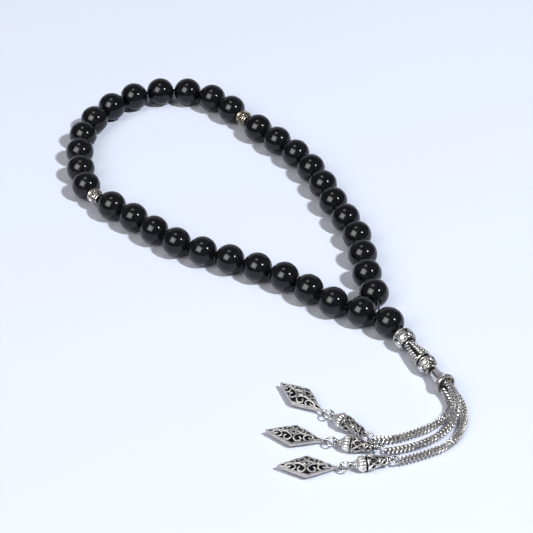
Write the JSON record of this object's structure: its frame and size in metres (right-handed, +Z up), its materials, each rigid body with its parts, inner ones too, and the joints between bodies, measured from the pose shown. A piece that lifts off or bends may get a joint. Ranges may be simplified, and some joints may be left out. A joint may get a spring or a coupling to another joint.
{
  "type": "misbaha prayer beads",
  "caption": "String of black stone prayer beads with dividers, a worked silver imam, a bell, and chain tassels ending in enamelled lozenge pendants.",
  "frame": {"origin": "on the surface the beads lie on, under the middle of the footprint's box", "axes": "+Z up from the surface; +Y from the tassels towards the far end of the loop; +X to the right, towards the imam's side"},
  "size_m": [0.1325, 0.2005, 0.0098],
  "materials": {
    "onyx": "polished",
    "thread_black": "matte",
    "silver_polished": "polished",
    "silver_worked": "satin",
    "silver_dark": "satin",
    "silver_rose": "satin",
    "silver_gold": "satin",
    "silver_chain": "satin",
    "silver_filigree": "polished",
    "enamel_black": "polished"
  },
  "bodies": {
    "thread": {"thread": "thread_black"},
    "imam": {"imam_vase": "silver_worked", "swivel_pin": "silver_dark"},
    "imam_dome": {"imam_dome": "silver_worked"},
    "bell": {"chain_bell": "silver_polished", "chain_ring": "silver_dark"},
    "chain_1": {"chain_1": "silver_chain"},
    "chain_2": {"chain_2": "silver_chain"},
    "chain_3": {"chain_3": "silver_chain"},
    "link_ring_1": {"link_ring_1": "silver_polished"},
    "cap_cone_1": {"cap_cone_1": "silver_worked"},
    "cap_dome_1": {"cap_dome_1": "silver_worked"},
    "jump_ring_1": {"jump_ring_1": "silver_polished"},
    "pendant_1": {"pendant_1": "silver_filigree"},
    "link_ring_2": {"link_ring_2": "silver_polished"},
    "cap_cone_2": {"cap_cone_2": "silver_worked"},
    "cap_dome_2": {"cap_dome_2": "silver_worked"},
    "jump_ring_2": {"jump_ring_2": "silver_polished"},
    "pendant_2": {"pendant_2": "silver_filigree"},
    "link_ring_3": {"link_ring_3": "silver_polished"},
    "cap_cone_3": {"cap_cone_3": "silver_worked"},
    "cap_dome_3": {"cap_dome_3": "silver_worked"},
    "jump_ring_3": {"jump_ring_3": "silver_polished"},
    "pendant_3": {"pendant_3": "silver_filigree"},
    "leader_bead": {"leader_bead": "onyx"},
    "divider_1": {"divider_1": "silver_rose"},
    "divider_2": {"divider_2": "silver_gold"},
    "bead_01": {"bead_01": "onyx"},
    "bead_02": {"bead_02": "onyx"},
    "bead_03": {"bead_03": "onyx"},
    "bead_04": {"bead_04": "onyx"},
    "bead_05": {"bead_05": "onyx"},
    "bead_06": {"bead_06": "onyx"},
    "bead_07": {"bead_07": "onyx"},
    "bead_08": {"bead_08": "onyx"},
    "bead_09": {"bead_09": "onyx"},
    "bead_10": {"bead_10": "onyx"},
    "bead_11": {"bead_11": "onyx"},
    "bead_12": {"bead_12": "onyx"},
    "bead_13": {"bead_13": "onyx"},
    "bead_14": {"bead_14": "onyx"},
    "bead_15": {"bead_15": "onyx"},
    "bead_16": {"bead_16": "onyx"},
    "bead_17": {"bead_17": "onyx"},
    "bead_18": {"bead_18": "onyx"},
    "bead_19": {"bead_19": "onyx"},
    "bead_20": {"bead_20": "onyx"},
    "bead_21": {"bead_21": "onyx"},
    "bead_22": {"bead_22": "onyx"},
    "bead_23": {"bead_23": "onyx"},
    "bead_24": {"bead_24": "onyx"},
    "bead_25": {"bead_25": "onyx"},
    "bead_26": {"bead_26": "onyx"},
    "bead_27": {"bead_27": "onyx"},
    "bead_28": {"bead_28": "onyx"},
    "bead_29": {"bead_29": "onyx"},
    "bead_30": {"bead_30": "onyx"},
    "bead_31": {"bead_31": "onyx"},
    "bead_32": {"bead_32": "onyx"},
    "bead_33": {"bead_33": "onyx"}
  },
  "joints": [
    {"name": "imam_swing", "type": "hinge", "parent": "thread", "child": "imam", "pos_m": [0.0473, -0.0388, 0.0043], "axis": [0, 0, 1], "range_deg": [-12, 12]},
    {"name": "imam_dome_turn", "type": "hinge", "parent": "imam", "child": "imam_dome", "pos_m": [0.05534, -0.05356, 0.00319], "axis": [0.4919, -0.8695, -0.0454], "continuous": true},
    {"name": "bell_swing", "type": "hinge", "parent": "imam", "child": "bell", "pos_m": [0.05736, -0.05713, 0.003], "axis": [0, 0, 1], "range_deg": [-12, 12]},
    {"name": "chain_1_swing", "type": "hinge", "parent": "bell", "child": "chain_1", "pos_m": [0.05877, -0.06265, 0.00262], "axis": [0, 0, 1], "range_deg": [-10, 0]},
    {"name": "chain_2_lift", "type": "hinge", "parent": "bell", "child": "chain_2", "pos_m": [0.05988, -0.06188, 0.00493], "axis": [-0.8829, -0.4695, 0], "range_deg": [0, 16]},
    {"name": "chain_3_swing", "type": "hinge", "parent": "bell", "child": "chain_3", "pos_m": [0.06114, -0.06139, 0.00262], "axis": [0, 0, 1], "range_deg": [0, 12]},
    {"name": "link_ring_1_lift", "type": "hinge", "parent": "chain_1", "child": "link_ring_1", "pos_m": [0.03701, -0.08472, 0.00161], "axis": [0.5, 0.866, 0], "range_deg": [0, 40]},
    {"name": "cap_1_swing", "type": "hinge", "parent": "link_ring_1", "child": "cap_cone_1", "pos_m": [0.03482, -0.08345, 0.00255], "axis": [0, 0, 1], "range_deg": [-10, 10]},
    {"name": "cap_dome_1_turn", "type": "hinge", "parent": "cap_cone_1", "child": "cap_dome_1", "pos_m": [0.02721, -0.07729, 0.00255], "axis": [-0.7771, 0.6293, 0], "continuous": true},
    {"name": "jump_ring_1_swing", "type": "hinge", "parent": "cap_cone_1", "child": "jump_ring_1", "pos_m": [0.02495, -0.07546, 0.00255], "axis": [0, 0, 1], "range_deg": [-15, 15]},
    {"name": "pendant_1_swing", "type": "hinge", "parent": "jump_ring_1", "child": "pendant_1", "pos_m": [0.02232, -0.07341, 0.0019], "axis": [0, 0, 1], "range_deg": [-20, 20]},
    {"name": "link_ring_2_lift", "type": "hinge", "parent": "chain_2", "child": "link_ring_2", "pos_m": [0.04074, -0.08966, 0.00161], "axis": [0.0698, 0.9976, 0], "range_deg": [0, 40]},
    {"name": "cap_2_swing", "type": "hinge", "parent": "link_ring_2", "child": "cap_cone_2", "pos_m": [0.03821, -0.08948, 0.00255], "axis": [0, 0, 1], "range_deg": [-10, 10]},
    {"name": "cap_dome_2_turn", "type": "hinge", "parent": "cap_cone_2", "child": "cap_dome_2", "pos_m": [0.02863, -0.08745, 0.00255], "axis": [-0.9781, 0.2079, 0], "continuous": true},
    {"name": "jump_ring_2_swing", "type": "hinge", "parent": "cap_cone_2", "child": "jump_ring_2", "pos_m": [0.02579, -0.08684, 0.00255], "axis": [0, 0, 1], "range_deg": [-15, 15]},
    {"name": "pendant_2_swing", "type": "hinge", "parent": "jump_ring_2", "child": "pendant_2", "pos_m": [0.02258, -0.08592, 0.0019], "axis": [0, 0, 1], "range_deg": [-20, 20]},
    {"name": "link_ring_3_lift", "type": "hinge", "parent": "chain_3", "child": "link_ring_3", "pos_m": [0.04485, -0.0939, 0.00161], "axis": [-0.1736, 0.9848, 0], "range_deg": [0, 40]},
    {"name": "cap_3_swing", "type": "hinge", "parent": "link_ring_3", "child": "cap_cone_3", "pos_m": [0.04235, -0.09434, 0.00255], "axis": [0, 0, 1], "range_deg": [-10, 10]},
    {"name": "cap_dome_3_turn", "type": "hinge", "parent": "cap_cone_3", "child": "cap_dome_3", "pos_m": [0.03273, -0.09621, 0.00255], "axis": [-0.9816, -0.1908, 0], "continuous": true},
    {"name": "jump_ring_3_swing", "type": "hinge", "parent": "cap_cone_3", "child": "jump_ring_3", "pos_m": [0.02989, -0.09676, 0.00255], "axis": [0, 0, 1], "range_deg": [-15, 15]},
    {"name": "pendant_3_swing", "type": "hinge", "parent": "jump_ring_3", "child": "pendant_3", "pos_m": [0.02657, -0.09711, 0.0019], "axis": [0, 0, 1], "range_deg": [-20, 20]},
    {"name": "leader_bead_turn", "type": "hinge", "parent": "thread", "child": "leader_bead", "pos_m": [0.044, -0.0349, 0.00492], "axis": [0.7064, -0.7064, -0.0442], "continuous": true},
    {"name": "divider_1_turn", "type": "hinge", "parent": "thread", "child": "divider_1", "pos_m": [-0.05367, 0.0308, 0.00492], "axis": [-0.7206, 0.6933, 0], "continuous": true},
    {"name": "divider_2_turn", "type": "hinge", "parent": "thread", "child": "divider_2", "pos_m": [-0.00301, 0.07742, 0.00492], "axis": [0.6066, -0.795, 0], "continuous": true},
    {"name": "bead_01_turn", "type": "hinge", "parent": "thread", "child": "bead_01", "pos_m": [0.03535, -0.02953, 0.00492], "axis": [-0.9208, 0.39, 0], "continuous": true},
    {"name": "bead_02_turn", "type": "hinge", "parent": "thread", "child": "bead_02", "pos_m": [0.02646, -0.02481, 0.00492], "axis": [-0.839, 0.5441, 0], "continuous": true},
    {"name": "bead_03_turn", "type": "hinge", "parent": "thread", "child": "bead_03", "pos_m": [0.01871, -0.01844, 0.00492], "axis": [-0.6967, 0.7173, 0], "continuous": true},
    {"name": "bead_04_turn", "type": "hinge", "parent": "thread", "child": "bead_04", "pos_m": [0.01088, -0.01218, 0.00492], "axis": [-0.8525, 0.5227, 0], "continuous": true},
    {"name": "bead_05_turn", "type": "hinge", "parent": "thread", "child": "bead_05", "pos_m": [0.00202, -0.00736, 0.00492], "axis": [-0.9019, 0.4319, 0], "continuous": true},
    {"name": "bead_06_turn", "type": "hinge", "parent": "thread", "child": "bead_06", "pos_m": [-0.00711, -0.00304, 0.00492], "axis": [-0.9058, 0.4236, 0], "continuous": true},
    {"name": "bead_07_turn", "type": "hinge", "parent": "thread", "child": "bead_07", "pos_m": [-0.01628, 0.00118, 0.00492], "axis": [-0.9116, 0.4112, 0], "continuous": true},
    {"name": "bead_08_turn", "type": "hinge", "parent": "thread", "child": "bead_08", "pos_m": [-0.0251, 0.00604, 0.00492], "axis": [-0.8343, 0.5513, 0], "continuous": true},
    {"name": "bead_09_turn", "type": "hinge", "parent": "thread", "child": "bead_09", "pos_m": [-0.03286, 0.01242, 0.00492], "axis": [-0.702, 0.7122, 0], "continuous": true},
    {"name": "bead_10_turn", "type": "hinge", "parent": "thread", "child": "bead_10", "pos_m": [-0.04016, 0.01939, 0.00492], "axis": [-0.7438, 0.6684, 0], "continuous": true},
    {"name": "bead_11_turn", "type": "hinge", "parent": "thread", "child": "bead_11", "pos_m": [-0.04787, 0.0259, 0.00492], "axis": [-0.7838, 0.621, 0], "continuous": true},
    {"name": "bead_12_turn", "type": "hinge", "parent": "thread", "child": "bead_12", "pos_m": [-0.05742, 0.0373, 0.00492], "axis": [-0.3754, 0.9268, 0], "continuous": true},
    {"name": "bead_13_turn", "type": "hinge", "parent": "thread", "child": "bead_13", "pos_m": [-0.06001, 0.04708, 0.00492], "axis": [-0.133, 0.9911, 0], "continuous": true},
    {"name": "bead_14_turn", "type": "hinge", "parent": "thread", "child": "bead_14", "pos_m": [-0.06106, 0.05722, 0.00492], "axis": [-0.0712, 0.9975, 0], "continuous": true},
    {"name": "bead_15_turn", "type": "hinge", "parent": "thread", "child": "bead_15", "pos_m": [-0.06059, 0.06734, 0.00492], "axis": [0.1628, 0.9867, 0], "continuous": true},
    {"name": "bead_16_turn", "type": "hinge", "parent": "thread", "child": "bead_16", "pos_m": [-0.05718, 0.07678, 0.00492], "axis": [0.5049, 0.8632, 0], "continuous": true},
    {"name": "bead_17_turn", "type": "hinge", "parent": "thread", "child": "bead_17", "pos_m": [-0.05137, 0.08511, 0.00492], "axis": [0.636, 0.7717, 0], "continuous": true},
    {"name": "bead_18_turn", "type": "hinge", "parent": "thread", "child": "bead_18", "pos_m": [-0.04361, 0.09143, 0.00492], "axis": [0.8848, 0.4659, 0], "continuous": true},
    {"name": "bead_19_turn", "type": "hinge", "parent": "thread", "child": "bead_19", "pos_m": [-0.03407, 0.09468, 0.00492], "axis": [0.985, 0.1726, 0], "continuous": true},
    {"name": "bead_20_turn", "type": "hinge", "parent": "thread", "child": "bead_20", "pos_m": [-0.02405, 0.09457, 0.00492], "axis": [0.981, -0.1939, 0], "continuous": true},
    {"name": "bead_21_turn", "type": "hinge", "parent": "thread", "child": "bead_21", "pos_m": [-0.01498, 0.0905, 0.00492], "axis": [0.7964, -0.6047, 0], "continuous": true},
    {"name": "bead_22_turn", "type": "hinge", "parent": "thread", "child": "bead_22", "pos_m": [-0.00774, 0.08343, 0.00492], "axis": [0.6243, -0.7812, 0], "continuous": true},
    {"name": "bead_23_turn", "type": "hinge", "parent": "thread", "child": "bead_23", "pos_m": [0.00193, 0.07158, 0.00492], "axis": [0.6637, -0.748, 0], "continuous": true},
    {"name": "bead_24_turn", "type": "hinge", "parent": "thread", "child": "bead_24", "pos_m": [0.0088, 0.06405, 0.00492], "axis": [0.6845, -0.7291, 0], "continuous": true},
    {"name": "bead_25_turn", "type": "hinge", "parent": "thread", "child": "bead_25", "pos_m": [0.0153, 0.05621, 0.00492], "axis": [0.589, -0.8082, 0], "continuous": true},
    {"name": "bead_26_turn", "type": "hinge", "parent": "thread", "child": "bead_26", "pos_m": [0.02056, 0.04751, 0.00492], "axis": [0.4423, -0.8969, 0], "continuous": true},
    {"name": "bead_27_turn", "type": "hinge", "parent": "thread", "child": "bead_27", "pos_m": [0.02453, 0.03814, 0.00492], "axis": [0.3366, -0.9417, 0], "continuous": true},
    {"name": "bead_28_turn", "type": "hinge", "parent": "thread", "child": "bead_28", "pos_m": [0.02782, 0.02848, 0.00492], "axis": [0.3082, -0.9513, 0], "continuous": true},
    {"name": "bead_29_turn", "type": "hinge", "parent": "thread", "child": "bead_29", "pos_m": [0.03182, 0.01914, 0.00492], "axis": [0.4763, -0.8793, 0], "continuous": true},
    {"name": "bead_30_turn", "type": "hinge", "parent": "thread", "child": "bead_30", "pos_m": [0.03534, 0.00968, 0.00492], "axis": [0.2139, -0.9768, 0], "continuous": true},
    {"name": "bead_31_turn", "type": "hinge", "parent": "thread", "child": "bead_31", "pos_m": [0.03684, -0.00039, 0.00492], "axis": [0.0809, -0.9967, 0], "continuous": true},
    {"name": "bead_32_turn", "type": "hinge", "parent": "thread", "child": "bead_32", "pos_m": [0.0379, -0.01053, 0.00492], "axis": [0.1271, -0.9919, 0], "continuous": true},
    {"name": "bead_33_turn", "type": "hinge", "parent": "thread", "child": "bead_33", "pos_m": [0.03978, -0.02054, 0.00492], "axis": [0.241, -0.9705, 0], "continuous": true}
  ]
}
